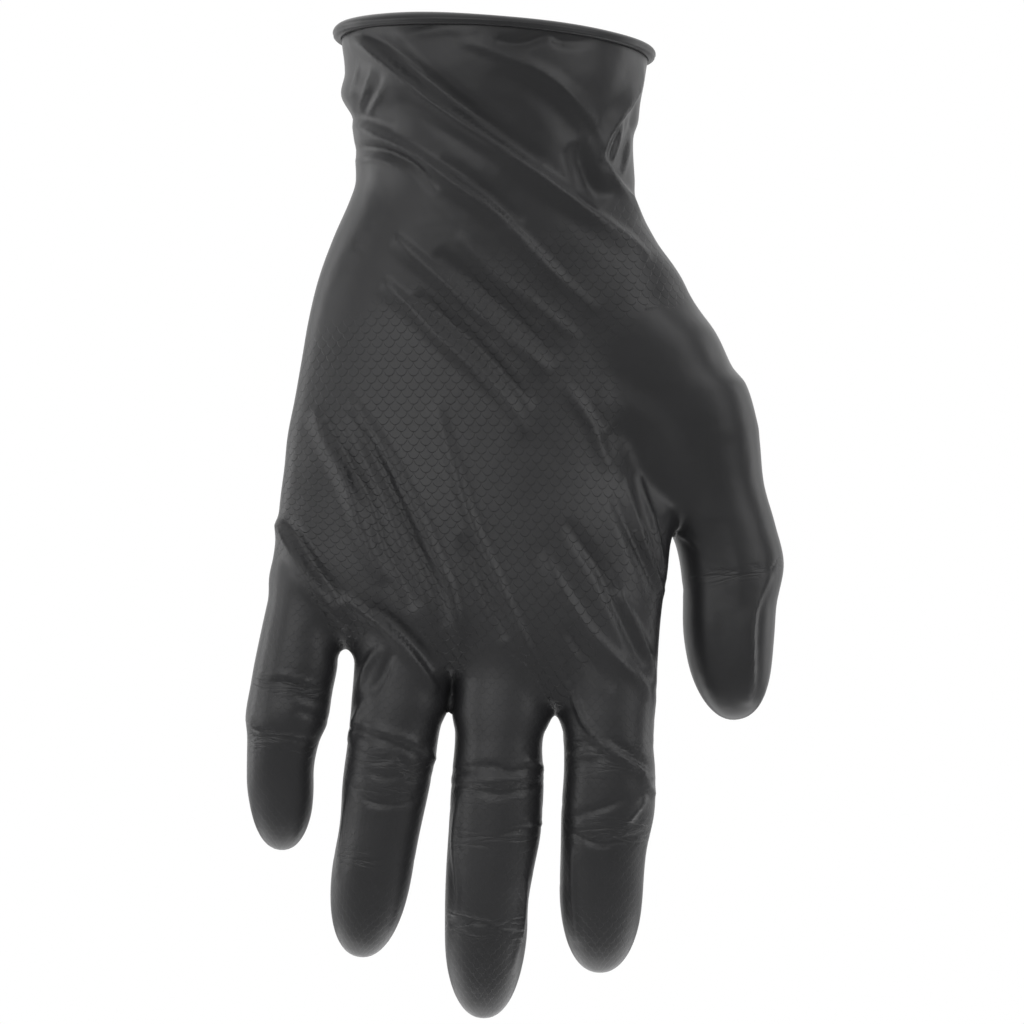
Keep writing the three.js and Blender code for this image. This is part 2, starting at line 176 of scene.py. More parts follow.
MIDDLE_ROWS = [
    (-0.55, 0.0, 0.0, 0.8, 0.86),
    (-0.28, 0.0, 0.0, 0.95, 0.94),
    (0.0, 0.0, 0.0, 1.07, 0.96),
    (0.09, -0.014, 0.0, 0.94, 0.93),
    (0.22, 0.0, 0.02, 0.986, 0.93),
    (0.39, 0.0, 0.06, 0.986, 0.88),
    (0.52, -0.028, 0.12, 0.935, 0.84),
    (0.62, -0.042, 0.18, 0.895, 0.8),
    (0.72, -0.03, 0.26, 0.89, 0.8),
    (0.85, -0.026, 0.36, 0.89, 0.79),
    (1.0, -0.014, 0.46, 0.89, 0.79),
]
INDEX_ROWS = [
    (-0.6, 0.0, 0.0, 0.8, 0.88),
    (-0.3, 0.0, 0.0, 0.98, 0.96),
    (0.0, -0.01, 0.0, 1.06, 0.98),
    (0.13, 0.02, 0.0, 0.985, 0.95),
    (0.245, 0.044, 0.01, 1.0, 0.94),
    (0.4, 0.037, 0.05, 1.02, 0.9),
    (0.55, 0.0, 0.12, 0.943, 0.86),
    (0.7, -0.012, 0.22, 0.92, 0.83),
    (0.84, -0.008, 0.32, 0.915, 0.82),
    (1.0, -0.008, 0.42, 0.915, 0.82),
]
THUMB_ROWS = [
    (-0.2, -0.36, -0.35, 0.9, 0.9),
    (-0.09, -0.05, -0.25, 1.1, 1.08),
    (0.026, 0.08, -0.14, 1.18, 1.17),
    (0.083, 0.17, -0.09, 1.28, 1.18),
    (0.2, 0.22, -0.02, 1.29, 1.13),
    (0.256, 0.225, 0.01, 1.25, 1.08),
    (0.372, 0.25, 0.05, 1.12, 0.98),
    (0.488, 0.316, 0.08, 1.05, 0.92),
    (0.604, 0.314, 0.1, 1.068, 0.89),
    (0.718, 0.195, 0.12, 0.985, 0.86),
    (0.8, 0.142, 0.145, 0.95, 0.85),
    (0.87, 0.112, 0.165, 0.94, 0.85),
    (1.0, 0.085, 0.2, 0.94, 0.85),
]

# The stalls' names, sections, lengths and widths, and their places: across is a share of the palm's
# width, down of the hand's length and sink of its depth. Then the lean, which swings the tip towards
# the thumb, in degrees, and the share of the length that the rounded end takes.
STALLS = [
    ("little", LITTLE_ROWS, LITTLE_LENGTH, LITTLE_WIDTH, -0.503, 0.893, 0.035, -5.6, 0.367),
    ("ring", RING_ROWS, RING_LENGTH, RING_WIDTH, -0.232, 0.986, 0.015, -9.4, 0.34),
    ("middle", MIDDLE_ROWS, MIDDLE_LENGTH, MIDDLE_WIDTH, 0.02, 1.01, 0.0, -3.4, 0.314),
    ("index", INDEX_ROWS, INDEX_LENGTH, INDEX_WIDTH, 0.289, 0.996, 0.01, -1.3, 0.32),
    ("thumb", THUMB_ROWS, THUMB_LENGTH, THUMB_WIDTH, 0.43, 0.31, 0.25, 11.5, 0.275),
]

# The stalls' joints, each as a share of the stall's length and how far its wrinkles spread.
JOINTS = {
    "little": [(0.17, 0.06), (0.45, 0.06)],
    "ring": [(0.28, 0.1), (0.63, 0.04)],
    "middle": [(0.23, 0.06), (0.42, 0.04), (0.7, 0.05)],
    "index": [(0.19, 0.07), (0.47, 0.06)],
    "thumb": [(0.6, 0.02)],
}

# Folds of the film on the back and on the palm side. Each row has the crest's height in millimetres,
# below 0 for a hollow, its reach to the left and to the right of the route as it runs, how sharp its
# top is, from 0 for round to 1 for a crease, and the route, whose places are in the photograph's
# pixels, the palm's too, seen through.
BACK_FOLDS = [
    # cuff: the long drag fold from the rim to the thumb side, and the hollows beside it
    (2.0, 2.6, 5.0, 0.75, [(342, 32), (359, 42), (390, 68), (435, 106), (473, 131), (511, 156), (553, 186),
                           (595, 215), (629, 239), (652, 258)]),
    (-1.5, 4.0, 3.0, 0.2, [(362, 24), (372, 34), (392, 53), (415, 74), (446, 98), (476, 121), (507, 144),
                           (540, 168)]),
    (-0.5, 2.5, 4.0, 0.1, [(405, 95), (440, 122), (470, 143), (505, 163)]),
    # cuff: the second drag fold, from the little finger's side, and the short crease under it
    (1.6, 1.8, 4.5, 0.75, [(345, 115), (362, 126), (382, 137), (409, 150), (431, 166), (458, 186),
                           (488, 207), (511, 228), (534, 251), (562, 280)]),
    (-0.7, 2.6, 1.4, 0.3, [(350, 110), (370, 120), (395, 132)]),
    (-0.7, 2.6, 2.0, 0.2, [(440, 162), (470, 182), (500, 206), (520, 226)]),
    (-1.5, 1.2, 2.6, 0.5, [(350, 143), (382, 149), (405, 159), (422, 172), (438, 192)]),
    (0.6, 1.4, 2.4, 0.8, [(350, 157), (372, 157), (396, 165)]),
    # cuff: the fold of the thumb side's upper part, and the hollow under it
    (0.8, 3.0, 2.0, 0.7, [(458, 45), (488, 55), (515, 66), (534, 74), (553, 85), (572, 101), (587, 118),
                          (597, 133), (604, 154)]),
    (-0.4, 2.5, 4.5, 0.1, [(495, 76), (535, 95), (560, 116), (580, 142), (590, 160)]),
    # cuff: puckers under the bead
    (-1.7, 1.5, 2.2, 0.3, [(498, 46), (519, 49), (535, 44), (549, 39), (561, 45), (580, 45), (597, 42)]),
    (0.7, 1.2, 1.2, 0.5, [(506, 38), (530, 34), (560, 33)]),
    (-1.2, 1.5, 2.0, 0.3, [(408, 31), (430, 27), (462, 24)]),
    (0.6, 2.0, 2.0, 0.5, [(394, 38), (420, 37), (450, 34), (478, 38)]),
    # cuff: the creased flap at the thumb side
    (1.6, 1.8, 4.0, 0.9, [(644, 58), (640, 82), (629, 103), (614, 125), (604, 146), (601, 162)]),
    (1.4, 1.8, 4.0, 0.8, [(601, 156), (610, 171), (621, 186), (633, 199), (642, 218)]),
    (-1.6, 3.5, 4.5, 0.1, [(574, 146), (584, 170), (592, 188), (604, 204)]),
    (0.9, 1.1, 1.1, 0.8, [(622, 120), (618, 140), (612, 162)]),
    (0.8, 1.1, 1.1, 0.8, [(632, 124), (629, 148), (622, 176)]),
    (-0.8, 1.4, 1.4, 0.4, [(638, 96), (633, 120), (626, 150), (622, 168)]),
    # cuff: fine streaks at the little finger's side
    (0.35, 1.0, 1.0, 0.8, [(374, 68), (366, 90), (358, 112)]),
    (0.35, 1.0, 1.0, 0.8, [(388, 84), (376, 102), (362, 120)]),
    (0.3, 0.9, 0.9, 0.8, [(360, 58), (356, 76), (350, 96)]),
    (-0.4, 1.6, 1.6, 0.2, [(384, 72), (374, 92), (362, 112)]),
    # hand: the two drag folds below the wrist, and fainter ones beside them
    (1.1, 1.6, 4.0, 0.6, [(396, 236), (407, 247), (428, 266), (458, 293), (488, 319), (519, 346),
                          (552, 372)]),
    (-1.1, 3.2, 2.4, 0.1, [(436, 254), (470, 282), (505, 312), (535, 340), (560, 362)]),
    (1.1, 1.6, 4.0, 0.6, [(384, 280), (393, 289), (420, 315), (443, 338), (473, 365), (504, 399),
                          (530, 434)]),
    (-1.3, 3.0, 2.4, 0.1, [(416, 295), (445, 320), (475, 346), (505, 378), (532, 410)]),
    (0.7, 2.0, 3.0, 0.4, [(458, 236), (496, 274), (534, 304), (580, 340)]),
    (0.6, 2.0, 3.0, 0.4, [(505, 228), (553, 274), (600, 312)]),
    (0.5, 2.0, 3.0, 0.4, [(560, 380), (590, 420), (612, 470)]),
    # hand: drag folds running to the webs
    (1.4, 2.0, 4.0, 0.6, [(314, 408), (324, 432), (344, 475), (363, 532), (384, 582)]),
    (-1.6, 3.5, 2.5, 0.1, [(324, 420), (334, 440), (352, 470), (371, 505), (384, 546), (399, 576),
                           (414, 610)]),
    (1.4, 2.0, 3.5, 0.6, [(350, 394), (362, 415), (382, 445), (405, 490), (424, 528), (435, 553),
                          (450, 587), (458, 625), (459, 665)]),
    (-1.4, 2.4, 3.0, 0.1, [(352, 410), (372, 450), (392, 492), (410, 532), (423, 562), (437, 594),
                           (446, 628)]),
    (1, 2.0, 3.0, 0.5, [(436, 405), (454, 464), (473, 523), (496, 576), (519, 629), (538, 668)]),
    (-0.8, 1.8, 2.2, 0.2, [(462, 535), (484, 590), (506, 640)]),
    (1.5, 2.2, 3.5, 0.6, [(268, 518), (279, 530), (306, 576), (329, 606), (348, 628)]),
    (-1.3, 2.6, 2.2, 0.1, [(282, 518), (300, 546), (322, 578), (342, 602)]),
    (1.5, 1.6, 3.0, 0.7, [(342, 596), (360, 610), (382, 625), (401, 644), (420, 667), (438, 692)]),
    (-1.3, 2.4, 2.0, 0.1, [(372, 606), (396, 626), (416, 646), (434, 668)]),
    (1, 1.5, 2.0, 0.6, [(380, 646), (366, 668), (357, 692)]),
    (-1, 2.0, 2.0, 0.1, [(392, 650), (384, 672), (372, 696)]),
    # hand: the parallel folds beside the thumb's web
    (1.0, 1.2, 2.0, 0.85, [(628, 478), (637, 515), (648, 548), (659, 580), (669, 598)]),
    (0.9, 1.2, 1.6, 0.85, [(641, 474), (650, 505), (659, 540), (668, 584)]),
    (-0.9, 1.8, 2.6, 0.2, [(614, 496), (633, 538), (647, 568), (656, 594)]),
    (1.2, 1.5, 3.0, 0.9, [(618, 590), (625, 603), (635, 622), (644, 644), (652, 663), (657, 690)]),
    (-1.1, 2.6, 2.6, 0.1, [(566, 520), (582, 545), (599, 568), (610, 591), (621, 614), (633, 641),
                           (646, 668)]),
    (0.9, 2.0, 3.0, 0.6, [(544, 552), (557, 580), (583, 622), (610, 652), (640, 679), (660, 708)]),
    (-0.7, 2.4, 2.4, 0.1, [(566, 626), (588, 660), (614, 692)]),
    # the hollow above the thumb's web, and the ridge that runs over it to the thumb
    (0.7, 7.0, 7.0, 0.0, [(596, 398), (630, 408), (655, 430), (672, 478), (688, 540)]),
    (-1.0, 6.5, 7.0, 0.0, [(612, 426), (634, 446), (650, 484), (660, 512)]),
    # index stall
    (1.0, 1.4, 1.4, 0.9, [(560, 660), (568, 682), (575, 700), (583, 720), (593, 735), (604, 747),
                          (616, 762)]),
    (1.2, 1.5, 2.5, 0.7, [(600, 742), (622, 757), (640, 770), (656, 784)]),
    (-0.8, 1.6, 1.4, 0.3, [(610, 742), (633, 757), (652, 772)]),
    (-0.6, 1.2, 1.2, 0.6, [(564, 753), (585, 744), (600, 752), (612, 764)]),
    (-0.6, 1.2, 1.2, 0.6, [(566, 767), (585, 764), (605, 760)]),
    (-0.7, 1.3, 1.3, 0.6, [(564, 825), (585, 815), (595, 812), (612, 806), (630, 797)]),
    (-0.6, 1.4, 1.4, 0.6, [(564, 833), (585, 841), (602, 846), (622, 842), (644, 836)]),
    (0.9, 1.5, 1.5, 0.6, [(627, 826), (637, 812), (648, 800)]),
    (0.7, 1.3, 1.3, 0.6, [(640, 776), (652, 792), (658, 800)]),
    (0.5, 1.2, 1.8, 0.6, [(572, 850), (574, 900), (578, 950)]),
    # middle stall
    (-0.8, 1.2, 1.2, 0.6, [(448, 778), (460, 771), (477, 768), (496, 768), (511, 774), (523, 772),
                           (534, 772), (547, 781)]),
    (-0.8, 1.2, 1.2, 0.6, [(448, 789), (470, 791), (496, 795), (515, 793), (534, 789), (545, 783)]),
    (0.6, 1.8, 1.8, 0.2, [(446, 783), (496, 781), (547, 777)]),
    (0.9, 1.1, 1.1, 0.7, [(526, 760), (536, 767), (548, 774)]),
    (-0.6, 1.2, 1.2, 0.6, [(498, 836), (523, 831), (545, 829)]),
    (0.7, 1.1, 1.1, 0.7, [(524, 822), (536, 827), (547, 828)]),
    (-0.5, 1.2, 1.2, 0.6, [(456, 921), (488, 929), (514, 942)]),
    (0.6, 1.1, 1.1, 0.6, [(458, 800), (453, 842), (457, 899), (451, 925)]),
    (0.5, 1.1, 1.1, 0.6, [(527, 880), (523, 930), (512, 980)]),
    # ring stall
    (-0.8, 1.3, 1.3, 0.6, [(345, 729), (352, 732), (374, 739), (393, 745), (416, 755), (434, 763)]),
    (0.6, 1.3, 1.3, 0.4, [(350, 721), (380, 731), (410, 742), (436, 755)]),
    (-0.6, 1.3, 1.3, 0.6, [(348, 786), (371, 804), (397, 806), (420, 799)]),
    (-0.4, 1.1, 1.1, 0.6, [(352, 752), (372, 762), (394, 759)]),
    (-0.5, 1.1, 1.1, 0.6, [(390, 746), (404, 764), (413, 788)]),
    (-0.4, 1.1, 1.1, 0.6, [(362, 771), (385, 779), (407, 774)]),
    (0.8, 1.4, 1.4, 0.6, [(362, 702), (353, 724), (345, 746)]),
    (0.8, 1.5, 1.5, 0.5, [(424, 752), (440, 768)]),
    (0.5, 1.2, 1.2, 0.5, [(344, 800), (340, 840), (334, 885)]),
    # little stall
    (0.6, 1.0, 1.0, 0.8, [(252, 676), (272, 675), (287, 677), (310, 686), (330, 696)]),
    (-0.5, 1.2, 1.2, 0.5, [(258, 682), (290, 684), (318, 694)]),
    (-0.6, 1.2, 1.2, 0.5, [(288, 690), (305, 700), (326, 705)]),
    (-0.7, 1.3, 1.3, 0.5, [(294, 711), (312, 717), (328, 723)]),
    (-0.5, 1.2, 1.2, 0.5, [(250, 738), (280, 738), (298, 742), (314, 746)]),
    (0.7, 1.4, 1.4, 0.5, [(244, 720), (258, 734)]),
    # thumb stall
    (1.0, 1.6, 4.0, 0.8, [(776, 574), (760, 606), (756, 633), (756, 682), (754, 710)]),
    (-0.7, 5.0, 5.0, 0.0, [(716, 520), (722, 580), (726, 630), (724, 690)]),
    (0.3, 1.0, 1.0, 0.7, [(680, 532), (692, 541), (703, 551)]),
]
PALM_FOLDS = [
    # cuff
    (1.6, 3.0, 5.0, 0.6, [(340, 118), (390, 136), (459, 149), (537, 145), (640, 112)]),
    (1.3, 2.5, 5.0, 0.6, [(350, 160), (400, 178), (450, 190), (546, 202), (620, 186)]),
    (1.1, 2.5, 4.5, 0.6, [(360, 66), (420, 88), (485, 97), (590, 80)]),
    (-0.9, 3.5, 3.0, 0.2, [(370, 100), (440, 122), (520, 122), (600, 100)]),
    (0.9, 2.0, 3.5, 0.6, [(500, 40), (540, 70), (560, 110), (556, 150)]),
    # the hand's main creases, and drag folds from the thumb's ball
    (-1.8, 5.0, 5.0, 0.4, [(504, 216), (512, 270), (522, 320), (555, 384), (624, 440)]),
    (-1.5, 4.5, 4.5, 0.4, [(330, 460), (390, 484), (450, 493), (555, 470), (630, 440)]),
    (-1.5, 4.0, 4.5, 0.4, [(280, 545), (340, 575), (407, 589), (511, 584), (580, 560)]),
    (0.9, 3.5, 4.5, 0.4, [(442, 265), (420, 320), (407, 367), (388, 450)]),
    (0.8, 2.5, 3.5, 0.5, [(560, 250), (600, 300), (640, 370)]),
    (0.7, 2.5, 3.5, 0.5, [(530, 262), (568, 320), (610, 390)]),
    (0.7, 2.5, 3.5, 0.5, [(340, 300), (372, 350), (380, 410)]),
    # the stalls' creases
    (-0.8, 1.8, 1.8, 0.5, [(252, 664), (290, 668), (336, 660)]),
    (-0.8, 1.8, 1.8, 0.5, [(350, 692), (400, 704), (452, 700)]),
    (-0.8, 1.8, 1.8, 0.5, [(452, 732), (500, 740), (554, 734)]),
    (-0.8, 1.8, 1.8, 0.5, [(558, 734), (606, 738), (660, 720)]),
    (-0.7, 1.6, 1.6, 0.5, [(244, 726), (280, 732), (320, 728)]),
    (-0.7, 1.6, 1.6, 0.5, [(342, 776), (385, 786), (434, 780)]),
    (-0.7, 1.6, 1.6, 0.5, [(446, 812), (495, 820), (546, 812)]),
    (-0.7, 1.6, 1.6, 0.5, [(558, 808), (605, 814), (656, 802)]),
    (-0.5, 1.5, 1.5, 0.5, [(330, 860), (372, 870), (416, 866)]),
    (-0.5, 1.5, 1.5, 0.5, [(444, 902), (488, 910), (530, 904)]),
    (-0.5, 1.5, 1.5, 0.5, [(558, 888), (602, 896), (646, 888)]),
    (-0.9, 2.0, 2.0, 0.5, [(684, 590), (730, 596), (784, 580)]),
]


def smooth(x, y, places):
    """A smooth curve through points: cubic Hermite pieces whose slopes come from the neighbouring
    points."""
    slopes = np.empty_like(y)
    slopes[1:-1] = (y[2:] - y[:-2]) / (x[2:] - x[:-2])
    slopes[0] = (y[1] - y[0]) / (x[1] - x[0])
    slopes[-1] = (y[-1] - y[-2]) / (x[-1] - x[-2])
    at = np.clip(places, x[0], x[-1])
    i = np.clip(np.searchsorted(x, at, side="right") - 1, 0, len(x) - 2)
    span = x[i + 1] - x[i]
    t = (at - x[i]) / span
    return (
        y[i] * (2 * t**3 - 3 * t**2 + 1)
        + y[i + 1] * (3 * t**2 - 2 * t**3)
        + slopes[i] * span * (t**3 - 2 * t**2 + t)
        + slopes[i + 1] * span * (t**3 - t**2)
    )


def body_table():
    """The cuff's and hand's sections in millimetres, one after the other."""
    cuff = np.array(CUFF_ROWS) * [CUFF_LENGTH, CUFF_WIDTH, CUFF_WIDTH, CUFF_DEPTH, CUFF_DEPTH, 1, 1, 1]
    hand = np.array(HAND_ROWS) * [HAND_LENGTH, PALM_WIDTH, PALM_WIDTH, PALM_DEPTH, PALM_DEPTH, 1, 1, 1]
    hand[:, 0] += CUFF_LENGTH
    return dict(zip(SECTION, np.concatenate([cuff, hand]).T))


BODY = body_table()
BODY_END = BODY["down"][-1]


def stall_frames():
    """Each stall's place, directions and sections in millimetres."""
    frames = {}
    for name, rows, length, width, across, down, sink, lean, dome in STALLS:
        turn = math.radians(lean)
        sizes = np.array(rows) * [length, width, width, width / 2, width / 2]
        frames[name] = {
            "web": np.array([across * PALM_WIDTH, sink * PALM_DEPTH, -(CUFF_LENGTH + down * HAND_LENGTH)]),
            "to_tip": np.array([math.sin(turn), 0.0, -math.cos(turn)]),
            "to_thumb": np.array([math.cos(turn), 0.0, math.sin(turn)]),
            "length": length,
            "dome": dome * length,
            **dict(zip(STALL_SECTION, sizes.T)),
        }
    return frames


STALL_FRAMES = stall_frames()


def body_at(name, down):
    """One of the body's sizes at distances down the glove."""
    return smooth(BODY["down"], BODY[name], down)


def stall_at(stall, name, along):
    """One of a stall's sizes at distances along it."""
    return smooth(stall["along"], stall[name], along)


def body_half(down, x):
    """The body's half width on the side of the middle where x lies."""
    return np.where(x > 0, body_at("right", down), body_at("left", down))


def body_thick(down, deep):
    """The body's thickness from its middle to the side, back or palm, where deep lies."""
    return np.where(deep < 0, body_at("back", down), body_at("palm", down))


def body_ring(down, across, back):
    """Places round the body: a unit section scaled to the sizes on each side, and swung back with the
    square of the distance towards the thumb."""
    x = across * body_half(down, across)
    y = -back * body_thick(down, -back) + body_at("swing", down) * np.maximum(x, 0) ** 2 / PALM_DEPTH
    return x, y


def rim_height(x, y):
    """The height of the sloping rim over a point of the opening."""
    return -RIM_RISE * y / (CUFF_DEPTH / 2) - RIM_LEAN * x / (CUFF_WIDTH / 2)


RIM_NORMAL = (RIM_LEAN / (CUFF_WIDTH / 2), RIM_RISE / (CUFF_DEPTH / 2), 1.0)


def rim_tilt(x, y, down):
    """How far the rim's slope still lifts the film, fading out down the cuff."""
    return rim_height(x, y) * np.clip(1 - down / (RIM_BLEND * CUFF_LENGTH), 0, 1)


def section_distance(across, deep, half, thick, power):
    """Distance outside a superellipse: its level |across/half|^p + |deep/thick|^p over the level's
    slope."""
    u = np.abs(across) / half
    v = np.abs(deep) / thick
    level = np.maximum((u**power + v**power) ** (1 / power), LEAST_LEVEL)
    slope = np.hypot(u ** (power - 1) / half, v ** (power - 1) / thick) * level ** (1 - power)
    return (level - 1) / np.maximum(slope, LEAST_SLOPE)


def blend_min(a, b, reach):
    """The smaller of two distances, rounded off where they are within reach of each other."""
    h = np.maximum(reach - np.abs(a - b), 0.0) / reach
    return np.minimum(a, b) - h * h * reach / 4


def body_place(points):
    """How far down the glove each point lies on its slanting section, and its place in that section."""
    x, y, z = points.T
    down = -z
    for _ in range(3):
        down = rim_tilt(x, y, down) - z - body_at("slant", down) * x
    deep = y - body_at("swing", down) * np.maximum(x, 0) ** 2 / PALM_DEPTH
    return down, x, deep


def body_distance(points):
    """Distance outside the cuff and hand, rounded off at the hand's lower end."""
    down, x, deep = body_place(points)
    side = section_distance(x, deep, body_half(down, x), body_thick(down, deep), body_at("square", down))
    return -blend_min(-side, -(down - BODY_END), HAND_END_BLEND)


def stall_place(points, stall):
    """A point's distance along a stall, and its place across and through the stall's section there."""
    offset = points - stall["web"]
    along = offset @ stall["to_tip"]
    across = offset @ stall["to_thumb"] - stall_at(stall, "side", along)
    deep = offset[:, 1] - stall_at(stall, "sink", along)
    return along, across, deep


def stall_distance(points, stall):
    """Distance outside a stall, whose end is rounded by letting the level grow along its dome. The dome
    reaches a little past the stall's length, because evening the mesh draws pointed ends in."""
    along, across, deep = stall_place(points, stall)
    half = stall_at(stall, "half", along)
    thick = stall_at(stall, "thick", along)
    power = STALL_ROUNDNESS
    start, end = stall["along"][0], stall["length"] - stall["dome"]
    reach = stall["dome"] + TIP_REACH
    tip = np.maximum(along - end, 0) / reach
    root = np.maximum(start - along, 0) / half[0]
    u, v = np.abs(across) / half, np.abs(deep) / thick
    level = np.maximum((u**power + v**power + tip**power + root**power) ** (1 / power), LEAST_LEVEL)
    steep = np.sqrt(
        (u ** (power - 1) / half) ** 2
        + (v ** (power - 1) / thick) ** 2
        + (tip ** (power - 1) / reach) ** 2
    ) * level ** (1 - power)
    return (level - 1) / np.maximum(steep, LEAST_SLOPE)


def glove_distance(points):
    """Distance outside the whole glove: its hand and stalls, rounded into each other at the webs."""
    fingers = None
    for name in ("little", "ring", "middle", "index"):
        one = stall_distance(points, STALL_FRAMES[name])
        fingers = one if fingers is None else blend_min(fingers, one, WEB_BLEND)
    slit = np.clip((-points[:, 2] - THUMB_SLIT[0]) / (THUMB_SLIT[1] - THUMB_SLIT[0]), 0, 1)
    thumb_blend = THUMB_BLEND + (THUMB_SLIT_BLEND - THUMB_BLEND) * slit
    hand = blend_min(body_distance(points), stall_distance(points, STALL_FRAMES["thumb"]), thumb_blend)
    return blend_min(hand, fingers, HAND_BLEND)


def distance_slope(points):
    """The direction in which the glove's distance grows, from small steps along each axis."""
    step = 0.3
    slope = np.empty_like(points)
    for axis in range(3):
        move = np.zeros(3)
        move[axis] = step
        slope[:, axis] = (glove_distance(points + move) - glove_distance(points - move)) / (2 * step)
    return slope


def superellipse(angle, power):
    """The unit superellipse's coordinates at an angle."""
    c, s = np.cos(angle), np.sin(angle)
    return np.sign(c) * np.abs(c) ** (2 / power), np.sign(s) * np.abs(s) ** (2 / power)


def tube(rings):
    """Vertices and faces of a tube through a grid of rings (ring, side, xyz), closed by a fan at each
    end."""
    count, sides = rings.shape[:2]
    caps = np.stack([rings[0].mean(axis=0), rings[-1].mean(axis=0)])
    vertices = np.concatenate([rings.reshape(-1, 3), caps])
    i = np.arange(count - 1)[:, None] * sides
    j = np.arange(sides)[None, :]
    k = (j + 1) % sides
    quads = np.stack([i + j, i + k, i + sides + k, i + sides + j], axis=-1).reshape(-1, 4)
    first, last = count * sides, count * sides + 1
    j, k = j[0], k[0]
    end = (count - 1) * sides
    start_fan = np.stack([np.full(sides, first), k, j], axis=-1)
    end_fan = np.stack([np.full(sides, last), end + j, end + k], axis=-1)
    return vertices, quads.tolist() + start_fan.tolist() + end_fan.tolist()


def turns(sides):
    """Angles evenly spaced round a full turn."""
    return np.linspace(0, 2 * np.pi, sides, endpoint=False)


def body_tube():
    """The cuff and hand as rings of superellipses from above the rim to the webs."""
    down = np.concatenate([[-OVERRUN], np.linspace(0, BODY_END, 90)])[:, None]
    across, back = superellipse(turns(120)[None, :], body_at("square", down))
    x, y = body_ring(down, across, back)
    z = rim_tilt(x, y, down) - down - body_at("slant", down) * x
    return tube(np.stack([x, y, z], axis=-1))


def stall_tube(stall):
    """One stall as rings of superellipses along its line, drawn in to its rounded tip."""
    end = stall["length"] - stall["dome"]
    tip = end + stall["dome"] * np.sin(np.linspace(0.1, 1.5, 12))
    along = np.concatenate([np.linspace(stall["along"][0], end, 60), tip])[:, None]
    past = np.clip((along - end) / stall["dome"], 0, 0.999)
    shrink = (1 - past**STALL_ROUNDNESS) ** (1 / STALL_ROUNDNESS)
    across, back = superellipse(turns(48)[None, :], STALL_ROUNDNESS)
    side = stall_at(stall, "side", along) + across * stall_at(stall, "half", along) * shrink
    deep = stall_at(stall, "sink", along) - back * stall_at(stall, "thick", along) * shrink
    rings = stall["web"] + along[..., None] * stall["to_tip"] + side[..., None] * stall["to_thumb"]
    rings = rings + deep[..., None] * np.array([0.0, 1.0, 0.0])
    return tube(rings)


def mesh_object(name, vertices, faces):
    """A new object whose mesh holds the vertices, given in millimetres, and the faces."""
    mesh = bpy.data.meshes.new(name)
    mesh.from_pydata((vertices * MM).tolist(), [], faces)
    mesh.update()
    made = bpy.data.objects.new(name, mesh)
    bpy.context.scene.collection.objects.link(made)
    return made


def modified(name, vertices, faces, kind, **settings):
    """The mesh that one modifier makes of the vertices and faces."""
    rough = mesh_object(name, vertices, faces)
    modifier = rough.modifiers.new(name, kind)
    for key, value in settings.items():
        setattr(modifier, key, value)
    evaluated = rough.evaluated_get(bpy.context.evaluated_depsgraph_get())
    mesh = bpy.data.meshes.new_from_object(evaluated)
    bpy.data.objects.remove(rough)
    return mesh


def read(items, name, width, kind=float):
    """One property of a mesh's vertices, edges or corners, in rows of a width."""
    values = np.empty(len(items) * (1 if name == "vertex_index" else width), dtype=kind)
    items.foreach_get(name, values)
    return values.reshape(-1, width)


def shade_smooth(mesh):
    """Marks every face of a mesh as part of a smooth surface."""
    mesh.polygons.foreach_set("use_smooth", np.ones(len(mesh.polygons), dtype=bool))


def evened(points, edges, share):
    """Each point moved a share of the way to the mean of its neighbours."""
    total = np.zeros_like(points)
    count = np.zeros(len(points))
    for a, b in ((0, 1), (1, 0)):
        for axis in range(3):
            total[:, axis] += np.bincount(edges[:, a], points[edges[:, b], axis], len(points))
        count += np.bincount(edges[:, a], minlength=len(points))
    mean = total / np.maximum(count, 1)[:, None]
    return points + (mean - points) * share


def onto_glove(points):
    """Points moved twice along the distance's slope, until they lie on the glove."""
    for _ in range(2):
        slope = distance_slope(points)
        size = np.maximum((slope**2).sum(axis=1), 0.05)
        move = (glove_distance(points) / size)[:, None] * slope
        far = np.linalg.norm(move, axis=1)
        points = points - move * np.minimum(1, 1.5 / np.maximum(far, 1e-6))[:, None]
    return points


def from_photo(pixels, depth):
    """The X of places in the photograph's pixels, and their distance down the glove, at a depth towards
    the camera: the pixel's offset from the picture's centre, scaled to the glove and drawn in by
    perspective."""
    scale = PHOTO_MM * (1 - depth / CAMERA_DISTANCE)
    places = [
        (pixels[:, axis] - PHOTO_CENTRE[axis]) * scale + (PHOTO_CENTRE[axis] - PHOTO_ORIGIN[axis]) * PHOTO_MM
        for axis in (0, 1)
    ]
    return np.stack(places, axis=-1)


def curved_route(pixels, samples):
    """A smooth line through the places of a fold's route, as evenly spaced parameters of cubic pieces."""
    points = from_photo(np.array(pixels, dtype=float), BACK_DEPTH)
    key = np.arange(len(points), dtype=float)
    at = np.linspace(0, key[-1], samples)
    if len(points) == 2:
        return points[0] + (points[1] - points[0]) * (at / key[-1])[:, None]
    return np.stack([smooth(key, points[:, axis], at) for axis in (0, 1)], axis=-1)


def route_distance(x, down, route):
    """Signed distance of each place from a route, positive on the left as it runs, and its share along
    it."""
    start, end = route[:-1], route[1:]
    run = end - start
    length2 = (run**2).sum(axis=1)
    dx = x[:, None] - start[None, :, 0]
    dd = down[:, None] - start[None, :, 1]
    t = np.clip((dx * run[:, 0] + dd * run[:, 1]) / length2, 0, 1)
    gap = np.hypot(dx - t * run[:, 0], dd - t * run[:, 1])
    nearest = gap.argmin(axis=1)
    row = np.arange(len(x))
    cross = dx[row, nearest] * run[nearest, 1] - dd[row, nearest] * run[nearest, 0]
    share = (nearest + t[row, nearest]) / len(run)
    return np.sign(cross) * gap[row, nearest], share


